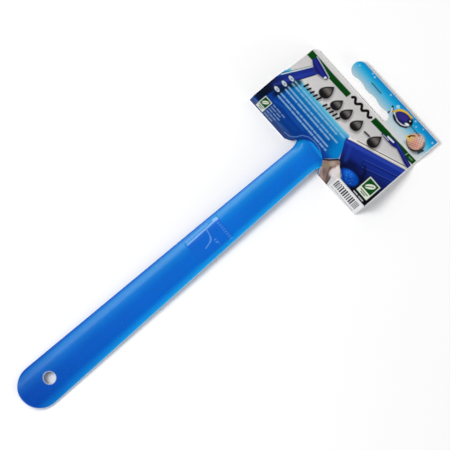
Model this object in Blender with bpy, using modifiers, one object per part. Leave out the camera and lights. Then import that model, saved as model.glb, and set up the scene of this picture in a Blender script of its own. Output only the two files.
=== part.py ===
"""Algae scraper with a long shoehorn-shaped handle, a T-shaped head and a hanging card.

The scraper lies on its back card: Y runs along the tool from the handle's end to the
card's header, X across it, Z up. Sizes below are in millimetres, measured from the
handle's end (y = 0) and the tool's centre line (x = 0). The whole tool hangs on one
empty, which puts the origin under the middle of the object's box.
"""

import math

import bmesh
import bpy

MM = 0.001

# Handle: a thin convex shell
HANDLE_END_RADIUS = 15.0
HANDLE_NECK_HALF_WIDTH = 10.4
TAPER_START_Y = 17.0
NECK_START_Y = 239.0
NECK_FILLET_RADIUS = 13.0
HANDLE_STOP_Y = 251.0
HANDLE_WALL = 2.4
CROWN_END = 5.0
CROWN_NECK = 4.4
CROWN_POWER = 2.6
RIM_END_Z = 1.9
CREST_NECK_Z = 12.6
ELBOW_Y = 246.0
ELBOW_DROP = 0.08
HANG_HOLE_Y = 23.3
HANG_HOLE_RADIUS = 4.0

# T-shaped head
HEAD_HALF_WIDTH = 38.0
HEAD_REAR_Y = 249.5
LIP_Y = 275.5
PIN_Y = 256.5
PIN_Z = 9.4
PIN_RADIUS = 1.25
KNUCKLE_RADIUS = 3.0
CHEEK_THICKNESS = 3.0
MIDDLE_LUG_HALF_WIDTH = 5.0
GAP = 0.3

# Blade and its guard
BLADE_TIP_Y = 287.6
BLADE_TIP_Z = 2.2
BLADE_TILT = math.radians(13.6)
BLADE_DEPTH = 19.2
BLADE_THICKNESS = 0.3
BLADE_HALF_WIDTH = 35.0
BLADE_EDGE = 1.2
SLOT_HALF_HEIGHT = 0.4
GUARD_REAR = 10.3
GUARD_NOSE = -1.2
GUARD_WALL = 0.65

# Folded card
CARD_LEFT = -50.5
CARD_RIGHT = 49.5
CARD_THICKNESS = 0.45
FOLD_LEFT_Y = 243.2
FOLD_RIGHT_Y = 250.4
FOLD_Z = 15.2
CARD_HEEL_Y = 241.5
FLAT_START_Y = 293.5
SLOT_LOW_Y = 295.4
HEADER_Z = CARD_THICKNESS / 2 + CARD_THICKNESS + GAP
LEAF_BULGE = ((270.0, 11.4), (276.5, 9.9), (285.0, 6.4), (291.0, 2.7), (FLAT_START_Y, HEADER_Z))
FOLD_CLEARANCE = 0.6
ARCH_RADIUS = 13.8
ARCH_Y = 239.2
ARCH_FLOOR_Z = 3.5
SLOT_END_X = 13.7
TONGUE_X = -18.4
TONGUE_RADIUS = 5.6
TONGUE_LOW_Y = 301.5
HEADER_TOP_RIGHT_Y = 315.0

# Staples: x, y of the middle, and crown length
STAPLES = {"staple_left": (-3.8, 307.0, 9.5), "staple_right": (33.5, 307.8, 9.5)}
WIRE_RADIUS = 0.25

ROOT_SHIFT = (-(CARD_LEFT + CARD_RIGHT) / 2, -HEADER_TOP_RIGHT_Y / 2, 0.0)


def clear_scene():
    """Remove whatever the file holds."""
    for old in list(bpy.data.objects):
        bpy.data.objects.remove(old)


def make_collection(name):
    """A new collection in the scene."""
    collection = bpy.data.collections.new(name)
    bpy.context.scene.collection.children.link(collection)
    return collection


def make_material(name, colour, roughness, metallic=0.0):
    """A Principled material of one colour."""
    material = bpy.data.materials.new(name)
    material.use_nodes = True
    shader = material.node_tree.nodes["Principled BSDF"]
    shader.inputs["Base Color"].default_value = (*colour, 1.0)
    shader.inputs["Roughness"].default_value = roughness
    shader.inputs["Metallic"].default_value = metallic
    return material


def add_object(name, mesh, location=(0.0, 0.0, 0.0), material=None):
    """Link a mesh as an object of the part, at a place in millimetres."""
    piece = bpy.data.objects.new(name, mesh)
    piece.location = [value * MM for value in location]
    if material:
        mesh.materials.append(material)
        PART.objects.link(piece)
    else:
        piece.hide_render = True
        piece.display_type = "WIRE"
        CUTTERS.objects.link(piece)
    piece.parent = ROOT
    return piece


def grid_surface(columns, rows, place):
    """An open sheet: place(s, t) gives its point in millimetres for s and t from 0 to 1."""
    sheet = bmesh.new()
    bmesh.ops.create_grid(sheet, x_segments=columns, y_segments=rows, size=0.5)
    for vertex in sheet.verts:
        point = place(vertex.co.x + 0.5, vertex.co.y + 0.5)
        vertex.co = [value * MM for value in point]
    mesh = bpy.data.meshes.new("sheet")
    sheet.to_mesh(mesh)
    sheet.free()
    return mesh


def outline_solid(points, low, high):
    """A mesh of a flat outline, filled and as thick as from low to high along Z."""
    curve = bpy.data.curves.new("outline", "CURVE")
    curve.dimensions = "2D"
    curve.fill_mode = "BOTH"
    curve.extrude = (high - low) / 2 * MM
    spline = curve.splines.new("POLY")
    spline.points.add(len(points) - 1)
    for target, (across, along) in zip(spline.points, points):
        target.co = (across * MM, along * MM, 0.0, 1.0)
    spline.use_cyclic_u = True
    guide = bpy.data.objects.new("outline", curve)
    bpy.context.scene.collection.objects.link(guide)
    bpy.context.view_layer.update()
    evaluated = guide.evaluated_get(bpy.context.evaluated_depsgraph_get())
    mesh = bpy.data.meshes.new_from_object(evaluated)
    bpy.data.objects.remove(guide)
    welded = bmesh.new()
    welded.from_mesh(mesh)
    bmesh.ops.remove_doubles(welded, verts=welded.verts, dist=0.001 * MM)
    bmesh.ops.translate(welded, verts=welded.verts, vec=(0.0, 0.0, (low + high) / 2 * MM))
    bmesh.ops.recalc_face_normals(welded, faces=welded.faces)
    welded.to_mesh(mesh)
    welded.free()
    return mesh


def bar(points, left, right):
    """A mesh of a side profile of (y, z) points that runs along X from left to right."""
    mesh = outline_solid(points, left, right)
    for vertex in mesh.vertices:
        along, up, across = vertex.co
        vertex.co = (across, along, up)
    return mesh


def solidify(piece, thickness, offset):
    """Give an open sheet its thickness."""
    modifier = piece.modifiers.new("thickness", "SOLIDIFY")
    modifier.thickness = thickness * MM
    modifier.offset = offset
    modifier.use_even_offset = True


def combine(piece, other, operation):
    """Join or cut a piece with a hidden one."""
    modifier = piece.modifiers.new(other.name, "BOOLEAN")
    modifier.operation = operation
    modifier.solver = "EXACT"
    modifier.object = other


def shade(piece, degrees=35.0):
    """Smooth shading with sharp edges kept."""
    piece.data.shade_smooth()
    piece.data.set_sharp_from_angle(angle=math.radians(degrees))


def arc(centre, radius, first, last, steps):
    """Points on an arc, by angles in degrees."""
    points = []
    for step in range(steps + 1):
        angle = math.radians(first + (last - first) * step / steps)
        points.append((centre[0] + radius * math.cos(angle), centre[1] + radius * math.sin(angle)))
    return points


def blade_point(back, lift):
    """(y, z) of a point so far back from the blade's edge and so far above its plane."""
    along = BLADE_TIP_Y - back * math.cos(BLADE_TILT) + lift * math.sin(BLADE_TILT)
    up = BLADE_TIP_Z + back * math.sin(BLADE_TILT) + lift * math.cos(BLADE_TILT)
    return along, up


def slot_z(along, lift):
    """Height, at a place along the tool, of the line so far above the blade's plane."""
    return BLADE_TIP_Z + (BLADE_TIP_Y - along) * math.tan(BLADE_TILT) + lift


def handle_half_width(along):
    """Half the handle's width: a straight taper, then the fillet into the head."""
    share = max(0.0, along - TAPER_START_Y) / (NECK_START_Y - TAPER_START_Y)
    straight = HANDLE_END_RADIUS + (HANDLE_NECK_HALF_WIDTH - HANDLE_END_RADIUS) * min(share, 1.0)
    into = max(0.0, along - NECK_START_Y)
    return straight + NECK_FILLET_RADIUS - math.sqrt(NECK_FILLET_RADIUS ** 2 - into ** 2)


def handle_point(s, t):
    """The handle's outer skin: rows start on the round end and then run square across."""
    side = math.sin((s - 0.5) * math.pi)
    end_rows = 0.12
    end_y = TAPER_START_Y + 5.0
    if t < end_rows:
        across = side * HANDLE_END_RADIUS
        edge_y = HANDLE_END_RADIUS - math.sqrt(max(0.0, HANDLE_END_RADIUS ** 2 - across ** 2))
        along = edge_y + (end_y - edge_y) * t / end_rows
    elif t < 0.7:
        along = end_y + (NECK_START_Y - end_y) * (t - end_rows) / (0.7 - end_rows)
    else:
        along = NECK_START_Y + (HANDLE_STOP_Y - NECK_START_Y) * (t - 0.7) / 0.3
    across = side * handle_half_width(along)
    share = min(along, ELBOW_Y) / ELBOW_Y
    crown = CROWN_END + (CROWN_NECK - CROWN_END) * share
    rim = RIM_END_Z + (CREST_NECK_Z - CROWN_NECK - RIM_END_Z) * share
    drop = ELBOW_DROP * max(0.0, along - ELBOW_Y)
    return across, along, rim + crown * (1.0 - abs(side) ** CROWN_POWER) - drop


def make_handle(material):
    """Handle, neck and fixed lower jaw: one moulding with lugs for the hinge pin."""
    handle = add_object("handle", grid_surface(16, 40, handle_point), material=material)
    solidify(handle, HANDLE_WALL, -1.0)
    jaw_outline = [
        (HEAD_REAR_Y, 3.2),
        (255.0, 2.4),
        (268.0, 2.6),
        (LIP_Y, 3.3),
        (LIP_Y, slot_z(LIP_Y, -SLOT_HALF_HEIGHT)),
        (269.0, slot_z(269.0, -SLOT_HALF_HEIGHT)),
        (266.5, 4.9),
        (252.6, 5.2),
        (252.6, 12.8),
        (HEAD_REAR_Y, 12.2),
    ]
    jaw = add_object("fixed_jaw_shape", bar(jaw_outline, -HEAD_HALF_WIDTH, HEAD_HALF_WIDTH))
    combine(handle, jaw, "UNION")
    lug_outline = [(253.5, 4.5), (259.5, 4.5)] + arc((PIN_Y, PIN_Z), KNUCKLE_RADIUS, 0, 180, 12)
    for number, (left, right) in enumerate(lug_spans()):
        lug = add_object(f"lug_shape_{number}", bar(lug_outline, left, right))
        combine(handle, lug, "UNION")
    stop_outline = [
        (270.5, slot_z(270.5, -SLOT_HALF_HEIGHT - 0.5)),
        (275.0, slot_z(275.0, -SLOT_HALF_HEIGHT - 0.5)),
        (275.0, slot_z(275.0, 0.1)),
        (270.5, slot_z(270.5, 0.1)),
    ]
    stop = add_object("blade_stop_shape", bar(stop_outline, -HEAD_HALF_WIDTH + 0.5, -BLADE_HALF_WIDTH - GAP))
    combine(handle, stop, "UNION")
    combine(handle, pin_hole(), "DIFFERENCE")
    hole = add_object(
        "hang_hole_cutter",
        outline_solid(arc((0.0, HANG_HOLE_Y), HANG_HOLE_RADIUS, 0, 345, 23), -5.0, 20.0),
    )
    combine(handle, hole, "DIFFERENCE")
    shade(handle)


def lug_spans():
    """Where the moulding's three lugs stand along X."""
    inner = HEAD_HALF_WIDTH - CHEEK_THICKNESS
    return (
        (-HEAD_HALF_WIDTH, -inner),
        (-MIDDLE_LUG_HALF_WIDTH, MIDDLE_LUG_HALF_WIDTH),
        (inner, HEAD_HALF_WIDTH),
    )


def pin_hole():
    """Cutter for the pin's bore, made once and shared by the moulding and the clamp."""
    if "pin_bore_cutter" in CUTTERS.objects:
        return CUTTERS.objects["pin_bore_cutter"]
    circle = arc((PIN_Y, PIN_Z), PIN_RADIUS + GAP, 0, 337.5, 15)
    return add_object("pin_bore_cutter", bar(circle, -HEAD_HALF_WIDTH - 2.0, HEAD_HALF_WIDTH + 2.0))


def relative(points):
    """Profile points taken from the pin's axis."""
    return [(along - PIN_Y, up - PIN_Z) for along, up in points]


def make_clamp(material):
    """Upper jaw that turns on the pin; its origin is on the pin's axis."""
    jaw_outline = [
        (LIP_Y, slot_z(LIP_Y, SLOT_HALF_HEIGHT)),
        (LIP_Y, 6.7),
        (268.0, 9.3),
        (260.2, 11.6),
        (260.2, 9.5),
        (267.5, 7.8),
        (269.5, slot_z(269.5, SLOT_HALF_HEIGHT)),
    ]
    edge = HEAD_HALF_WIDTH - 0.2
    axis = (0.0, PIN_Y, PIN_Z)
    clamp = add_object("blade_clamp", bar(relative(jaw_outline), -edge, edge), axis, material)
    knuckle_outline = arc((PIN_Y, PIN_Z), KNUCKLE_RADIUS, 75, 330, 16) + [(262.0, 9.15), (262.0, 11.05)]
    spans = lug_spans()
    for number in range(2):
        left = spans[number][1] + GAP
        right = spans[number + 1][0] - GAP
        knuckle = add_object(f"knuckle_shape_{number}", bar(knuckle_outline, left, right))
        combine(clamp, knuckle, "UNION")
    combine(clamp, pin_hole(), "DIFFERENCE")
    shade(clamp)


def make_pin(material):
    """Steel rod through the lugs and the clamp's knuckles."""
    rod = bmesh.new()
    bmesh.ops.create_cone(
        rod,
        cap_ends=True,
        segments=20,
        radius1=PIN_RADIUS * MM,
        radius2=PIN_RADIUS * MM,
        depth=2 * HEAD_HALF_WIDTH * MM,
    )
    mesh = bpy.data.meshes.new("rod")
    rod.to_mesh(mesh)
    rod.free()
    pin = add_object("hinge_pin", mesh, (0.0, PIN_Y, PIN_Z), material)
    pin.rotation_euler = (0.0, math.radians(90), 0.0)
    shade(pin)


def make_blade(material):
    """Thin strip, ground to an edge along its front."""
    half = BLADE_THICKNESS / 2
    outline = [
        blade_point(0.0, -0.02),
        blade_point(0.0, 0.02),
        blade_point(BLADE_EDGE, half),
        blade_point(BLADE_DEPTH, half),
        blade_point(BLADE_DEPTH, -half),
        blade_point(BLADE_EDGE, -half),
    ]
    add_object("blade", bar(outline, -BLADE_HALF_WIDTH, BLADE_HALF_WIDTH), material=material)


def make_guard(material):
    """Channel pushed over the blade's edge."""
    inner = BLADE_THICKNESS / 2 + GAP
    outer = inner + GUARD_WALL
    outline = [
        blade_point(GUARD_REAR, outer),
        blade_point(GUARD_NOSE, outer),
        blade_point(GUARD_NOSE, -outer),
        blade_point(GUARD_REAR, -outer),
        blade_point(GUARD_REAR, -inner),
        blade_point(-GAP, -inner),
        blade_point(-GAP, inner),
        blade_point(GUARD_REAR, inner),
    ]
    edge = BLADE_HALF_WIDTH + 0.5
    add_object("blade_guard", bar(outline, -edge, edge), material=material)


def fold_y(across):
    """Where the card's upper fold crosses a line along the tool; the fold is a little skewed."""
    share = (across - CARD_LEFT) / (CARD_RIGHT - CARD_LEFT)
    return FOLD_LEFT_Y + (FOLD_RIGHT_Y - FOLD_LEFT_Y) * share


def header_cutter():
    """Cutter for the open hook slot, round tongue and top edge, made once and shared by both leaves."""
    if "header_cutter" in CUTTERS.objects:
        return CUTTERS.objects["header_cutter"]
    slot_middle = (SLOT_LOW_Y + TONGUE_LOW_Y) / 2
    slot_radius = (TONGUE_LOW_Y - SLOT_LOW_Y) / 2
    outline = [(-60.0, SLOT_LOW_Y)]
    outline += arc((SLOT_END_X, slot_middle), slot_radius, -90, 90, 8)
    outline += arc((TONGUE_X, TONGUE_LOW_Y + TONGUE_RADIUS), TONGUE_RADIUS, 270, 95, 16)
    outline += [(CARD_RIGHT, HEADER_TOP_RIGHT_Y), (60.0, HEADER_TOP_RIGHT_Y), (60.0, 330.0), (-60.0, 330.0)]
    return add_object("header_cutter", outline_solid(outline, -5.0, 30.0))


def arch_cutter():
    """Cutter for the arch that the neck comes out of, made once and shared by both leaves."""
    if "arch_cutter" in CUTTERS.objects:
        return CUTTERS.objects["arch_cutter"]
    circle = arc((0.0, ARCH_Y), ARCH_RADIUS, 0, 350, 35)
    return add_object("arch_cutter", outline_solid(circle, ARCH_FLOOR_Z, 30.0))


def staple_holes():
    """Cutter for the holes of the staples' legs, made once and shared by both leaves."""
    if "staple_hole_cutter" in CUTTERS.objects:
        return CUTTERS.objects["staple_hole_cutter"]
    holes = bmesh.new()
    for across, along, length in STAPLES.values():
        for side in (-0.5, 0.5):
            made = bmesh.ops.create_cone(
                holes,
                cap_ends=True,
                segments=10,
                radius1=(WIRE_RADIUS + GAP) * MM,
                radius2=(WIRE_RADIUS + GAP) * MM,
                depth=6.0 * MM,
            )
            place = ((across + side * length) * MM, along * MM, 0.0)
            bmesh.ops.translate(holes, verts=made["verts"], vec=place)
    mesh = bpy.data.meshes.new("holes")
    holes.to_mesh(mesh)
    holes.free()
    return add_object("staple_hole_cutter", mesh)


def make_card_front(material):
    """Printed leaf from the upper fold to the header; its origin is on the fold."""
    middle = (CARD_LEFT + CARD_RIGHT) / 2
    axis = (middle, fold_y(middle), FOLD_Z)
    start = GAP

    def place(s, t):
        across = CARD_LEFT + (CARD_RIGHT - CARD_LEFT) * s
        row = round(t * (len(LEAF_BULGE) + 1))
        if row == 0:
            along, up = fold_y(across) + start, FOLD_Z
        elif row <= len(LEAF_BULGE):
            along, up = LEAF_BULGE[row - 1]
        else:
            along, up = HEADER_TOP_RIGHT_Y + 2.0, HEADER_Z
        return across - axis[0], along - axis[1], up - axis[2]

    leaf = add_object("card_front", grid_surface(8, len(LEAF_BULGE) + 1, place), axis, material)
    solidify(leaf, CARD_THICKNESS, 0.0)
    combine(leaf, arch_cutter(), "DIFFERENCE")
    combine(leaf, header_cutter(), "DIFFERENCE")
    combine(leaf, staple_holes(), "DIFFERENCE")
    shade(leaf)


def make_card_back(material):
    """Plain leaf that lies flat, with the end panel that rises from its heel to the fold."""
    flat_z = CARD_THICKNESS / 2
    top_z = FOLD_Z - FOLD_CLEARANCE
    rows = 5

    def place(s, t):
        across = CARD_LEFT + (CARD_RIGHT - CARD_LEFT) * s
        row = round(t * rows)
        if row < rows - 1:
            share = 1.0 - row / (rows - 1)
            along = CARD_HEEL_Y + (fold_y(across) - GAP - CARD_HEEL_Y) * share
            return across, along, flat_z + (top_z - flat_z) * share
        if row == rows - 1:
            return across, CARD_HEEL_Y, flat_z
        return across, HEADER_TOP_RIGHT_Y + 2.0, flat_z

    leaf = add_object("card_back", grid_surface(8, rows, place), material=material)
    solidify(leaf, CARD_THICKNESS, 0.0)
    combine(leaf, arch_cutter(), "DIFFERENCE")
    combine(leaf, header_cutter(), "DIFFERENCE")
    combine(leaf, staple_holes(), "DIFFERENCE")
    shade(leaf)


def make_staple(name, across, along, length, material):
    """Bent wire: a crown across the header and two legs down through both leaves."""
    crown_z = HEADER_Z + CARD_THICKNESS / 2 + GAP + WIRE_RADIUS
    foot_z = 0.1
    half = length / 2
    route = [(-half, foot_z), (-half, crown_z - 0.3), (-half + 0.3, crown_z)]
    route += [(half - 0.3, crown_z), (half, crown_z - 0.3), (half, foot_z)]
    curve = bpy.data.curves.new(name, "CURVE")
    curve.dimensions = "3D"
    curve.bevel_depth = WIRE_RADIUS * MM
    curve.bevel_resolution = 2
    curve.use_fill_caps = True
    spline = curve.splines.new("POLY")
    spline.points.add(len(route) - 1)
    for target, (side, up) in zip(spline.points, route):
        target.co = (side * MM, 0.0, up * MM, 1.0)
    curve.materials.append(material)
    staple = bpy.data.objects.new(name, curve)
    staple.location = (across * MM, along * MM, 0.0)
    staple.parent = ROOT
    PART.objects.link(staple)


clear_scene()
PART = make_collection("algae_scraper")
CUTTERS = make_collection("cutters")
ROOT = bpy.data.objects.new("scraper_frame", None)
ROOT.location = [value * MM for value in ROOT_SHIFT]
PART.objects.link(ROOT)

BLUE = make_material("blue_plastic", (0.0, 0.12, 0.60), 0.42)
STEEL = make_material("stainless_steel", (0.62, 0.64, 0.66), 0.25, 1.0)
WIRE = make_material("staple_wire", (0.20, 0.21, 0.22), 0.35, 1.0)
CLEAR = make_material("guard_plastic", (0.80, 0.84, 0.86), 0.30)
PRINT = make_material("printed_card", (0.05, 0.30, 0.60), 0.35)
PLAIN = make_material("plain_card", (0.80, 0.80, 0.79), 0.70)

make_handle(BLUE)
make_clamp(BLUE)
make_pin(STEEL)
make_blade(STEEL)
make_guard(CLEAR)
make_card_front(PRINT)
make_card_back(PLAIN)
for staple_name, (staple_x, staple_y, staple_length) in STAPLES.items():
    make_staple(staple_name, staple_x, staple_y, staple_length, WIRE)
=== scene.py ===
"""Looks of an algae scraper with a long moulded handle, packed in a folded printed card.

Places are in the tool's own millimetres: x across it, y along it from the handle's end, z up.
They are turned into the frame's metres where a mesh is made.
"""

import math
from contextlib import contextmanager

import bmesh
import bpy
import numpy as np
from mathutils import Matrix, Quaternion, Vector


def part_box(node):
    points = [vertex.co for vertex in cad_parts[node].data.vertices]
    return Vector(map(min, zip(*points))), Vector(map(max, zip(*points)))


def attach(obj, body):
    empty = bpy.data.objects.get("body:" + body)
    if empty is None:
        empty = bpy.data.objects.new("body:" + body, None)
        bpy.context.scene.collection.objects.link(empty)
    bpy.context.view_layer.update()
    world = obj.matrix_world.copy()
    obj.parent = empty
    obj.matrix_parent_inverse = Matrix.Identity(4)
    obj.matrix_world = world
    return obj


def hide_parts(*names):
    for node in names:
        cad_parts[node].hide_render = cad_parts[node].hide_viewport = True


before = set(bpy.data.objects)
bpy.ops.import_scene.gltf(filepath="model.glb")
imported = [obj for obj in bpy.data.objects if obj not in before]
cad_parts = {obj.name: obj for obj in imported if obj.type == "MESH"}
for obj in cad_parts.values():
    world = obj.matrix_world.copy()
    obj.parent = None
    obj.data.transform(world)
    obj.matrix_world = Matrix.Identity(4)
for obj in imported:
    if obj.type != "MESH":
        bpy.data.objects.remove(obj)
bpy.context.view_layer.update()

MM = 0.001
HANDLE_LOW, HANDLE_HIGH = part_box("handle")
CARD_LOW, CARD_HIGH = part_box("card_front")
ORIGIN = np.array(((HANDLE_LOW.x + HANDLE_HIGH.x) / 2, HANDLE_LOW.y, 0.0))

# Handle; the etched panel's edges are left, right, low and high
END_RADIUS = 15.0
NECK_HALF_WIDTH = 10.4
TAPER_START_Y = 17.0
NECK_START_Y = 239.0
NECK_FILLET = 13.0
HANDLE_STOP_Y = 251.0
HANDLE_WALL = 2.4
CROWN_END = 5.0
CROWN_NECK = 4.4
CROWN_POWER = 2.6
RIM_END_Z = 1.9
RIM_NECK_Z = 8.2
ELBOW_Y = 246.0
ELBOW_DROP = 0.08
RIM_ROUND = 0.55
HOLE_Y = 23.3
HOLE_RADIUS = 4.0
JAW_REAR_Y = 249.5
PANEL = (-9.7, 9.4, 146.8, 174.2)
PANEL_DEPTH = 0.14
MARK_DEPTH = 0.10
PANEL_ROUGHER = 0.05

# Card
CARD_THICKNESS = 0.45
CARD_LEFT = (CARD_LOW.x - ORIGIN[0]) / MM
CARD_RIGHT = (CARD_HIGH.x - ORIGIN[0]) / MM
FOLD_LEFT_Y = 243.2
FOLD_RIGHT_Y = 250.4
PANEL_TOP_Z = 14.5
HEADER_Z = 0.975
HEADER_CURL = 2.8
CURL_START_Y = 289.3
CURL_END_Y = 306.0
FLAT_Z = CARD_THICKNESS / 2
BEND_Y = 270.0
HEADER_START_Y = 294.5
LEAF_PROFILE = (
    (FOLD_LEFT_Y, 15.2), (BEND_Y, 11.4), (276.5, 9.9), (285.0, 6.4), (291.0, 2.7), (293.5, HEADER_Z),
    (330.0, HEADER_Z),
)
ARCH_RADIUS = 13.8
ARCH_Y = 239.2
SLOT_END_X = 13.7
SLOT_RADIUS = 2.8
SLOT_MIDDLE_Y = 298.95
TONGUE_X = -19.5
TONGUE_Y = 306.7
TONGUE_RADIUS = 5.7
TONGUE_FLATTEN = 0.98
TONGUE_BLEND = 3.0
MOUTH_LEFT, MOUTH_RIGHT = -18.6, 13.6
MOUTH_TOP_LEFT, MOUTH_TOP_RIGHT = -12.3, 11.2
MESH_STEP = 0.3
PRINT_SHIFT = (0.45, 0.0)
PRINT_LEVEL = 0.99

# Angles in degrees above which an edge stays sharp
SHARP_HANDLE = 32
SHARP_CARD = 40
SHARP_NODE = 35

# Light: softbox powers in watts, where they aim in metres, and how bright the surroundings are
MAIN_POWER = 10.2
BAND_POWER = 5.9
FILL_POWER = 6.2
OVERHEAD_POWER = 1.1
LIGHT_TARGET = (0.0, 0.02, 0.0)
SKY_LEVEL = 0.5

# Floor: how far it reaches each way from the object's middle, and its height
FLOOR_REACH = 2600.0
OBJECT_MIDDLE_Y = 157.5
FLOOR_Z = -0.05

# Camera: metres
CAMERA_PLACE = (-0.00015, 0.0169)
CAMERA_DISTANCE = 2.4
CAMERA_HEIGHT = CAMERA_DISTANCE + 0.005
CAMERA_TURN = 49.2
VIEW_WIDTH = 0.2925
SENSOR_WIDTH = 36.0

RANDOM = np.random.default_rng(7)


def to_frame(points):
    """Tool millimetres to the frame's metres."""
    return np.asarray(points, float) * MM + ORIGIN


def ink(red, green, blue):
    """A colour's 0 to 255 screen values as the linear values that shaders use."""
    values = np.array((red, green, blue)) / 255
    return np.where(values <= 0.04045, values / 12.92, ((values + 0.055) / 1.055) ** 2.4)


def blend_stops(places, stops):
    """Inks along a line: stops are (place, screen colour) in rising order of place."""
    marks, colours = zip(*stops)
    channels = np.array([ink(*colour) for colour in colours]).T
    return np.stack([np.interp(places, marks, channel) for channel in channels], axis=1)


def blend_in(colours, share, colour):
    """Move a share of the way to an ink, given as a screen colour, in place."""
    colours += (ink(*colour) - colours) * share[:, None]


def smoothstep(low, high, value):
    """0 below low, 1 above high, and smooth between."""
    share = np.clip((value - low) / (high - low), 0.0, 1.0)
    return share * share * (3 - 2 * share)


def quarter_turn(steps):
    """Sines and cosines from 0 to 90 degrees."""
    angles = [math.radians(90 * step / steps) for step in range(steps + 1)]
    return [(math.sin(angle), math.cos(angle)) for angle in angles]


def spaced(first, last, step=MESH_STEP):
    """Even places from first up to, but not with, last."""
    count = max(1, math.ceil((last - first) / step))
    return [first + (last - first) * number / count for number in range(count)]


# ---------------------------------------------------------------- meshes


def add_object(name, data):
    """A new object in the scene."""
    piece = bpy.data.objects.new(name, data)
    bpy.context.scene.collection.objects.link(piece)
    return piece


def mesh_object(name, points, faces, materials):
    """An object from tool millimetres and faces."""
    mesh = bpy.data.meshes.new(name)
    mesh.from_pydata(to_frame(points).tolist(), [], faces)
    mesh.update()
    for material in materials:
        mesh.materials.append(material)
    return add_object(name, mesh)


@contextmanager
def editing(mesh):
    """Open a mesh for editing and write the result back."""
    work = bmesh.new()
    work.from_mesh(mesh)
    yield work
    work.to_mesh(mesh)
    work.free()


def grid_faces(index, flip=False):
    """Quads between neighbouring rows and columns of a grid of vertex numbers."""
    a = index[:-1, :-1].ravel()
    b = index[:-1, 1:].ravel()
    c = index[1:, 1:].ravel()
    d = index[1:, :-1].ravel()
    quads = np.stack((a, d, c, b) if flip else (a, b, c, d), axis=1)
    return quads.tolist()


def apply_modifiers(piece):
    """Replace a piece's mesh with what its modifiers make of it."""
    bpy.context.view_layer.update()
    evaluated = piece.evaluated_get(bpy.context.evaluated_depsgraph_get())
    made = bpy.data.meshes.new_from_object(evaluated)
    piece.modifiers.clear()
    piece.data = made


def tool_points(piece):
    """A mesh's vertices in tool millimetres."""
    places = np.empty(len(piece.data.vertices) * 3)
    piece.data.vertices.foreach_get("co", places)
    return (places.reshape(-1, 3) - ORIGIN) / MM


def store_colours(piece, name, colours):
    """Give each vertex a colour for the material to read."""
    attribute = piece.data.color_attributes.new(name, "FLOAT_COLOR", "POINT")
    rgba = np.ones((len(colours), 4), np.float32)
    rgba[:, :3] = colours
    attribute.data.foreach_set("color", rgba.ravel())


def store_numbers(piece, name, numbers):
    """Give each vertex a number for the material to read."""
    attribute = piece.data.attributes.new(name, "FLOAT", "POINT")
    attribute.data.foreach_set("value", np.asarray(numbers, np.float32))


def smooth_shade(piece, sharp_angle):
    """Shade a mesh smooth, apart from edges sharper than an angle in degrees."""
    piece.data.shade_smooth()
    piece.data.set_sharp_from_angle(angle=math.radians(sharp_angle))


def read_faces(mesh, name, width, kind=float):
    """One property of all faces, as rows of numbers."""
    values = np.empty(len(mesh.polygons) * width, kind)
    mesh.polygons.foreach_get(name, values)
    return values.reshape(-1, width)


# ---------------------------------------------------------------- flat shapes


def cover(distance, soft):
    """1 inside a shape, 0 outside, soft between; distance is negative inside."""
    return np.clip(0.5 - distance / soft, 0.0, 1.0)


def segment_distance(xy, start, end):
    """Distance from each point to a straight segment."""
    start = np.asarray(start, float)
    run = np.asarray(end, float) - start
    share = np.clip(((xy - start) @ run) / max(run @ run, 1e-9), 0.0, 1.0)
    return np.hypot(*(xy - start - share[:, None] * run).T)


def line_distance(xy, points):
    """Distance from each point to a chain of segments."""
    nearest = np.full(len(xy), 1e9)
    for start, end in zip(points[:-1], points[1:]):
        nearest = np.minimum(nearest, segment_distance(xy, start, end))
    return nearest


def shape_distance(xy, points):
    """Signed distance from each point to a closed outline, negative inside."""
    points = np.asarray(points, float)
    inside = np.zeros(len(xy), bool)
    x, y = xy.T
    for (ax, ay), (bx, by) in zip(points, np.roll(points, -1, axis=0)):
        crosses = (ay > y) != (by > y)
        run = by - ay if by != ay else 1e-9
        inside ^= crosses & (x < (bx - ax) * (y - ay) / run + ax)
    distance = line_distance(xy, [*points, points[0]])
    return np.where(inside, -distance, distance)


def smooth_loop(points, steps=4):
    """A closed smooth curve through a few points."""
    points = np.asarray(points, float)
    curve = []
    for number in range(len(points)):
        before, start, end, after = (points[(number + shift) % len(points)] for shift in (-1, 0, 1, 2))
        for step in range(steps):
            t = step / steps
            curve.append(
                0.5 * (2 * start + (end - before) * t + (2 * before - 5 * start + 4 * end - after) * t ** 2
                       + (3 * start - before - 3 * end + after) * t ** 3)
            )
    return curve


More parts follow.
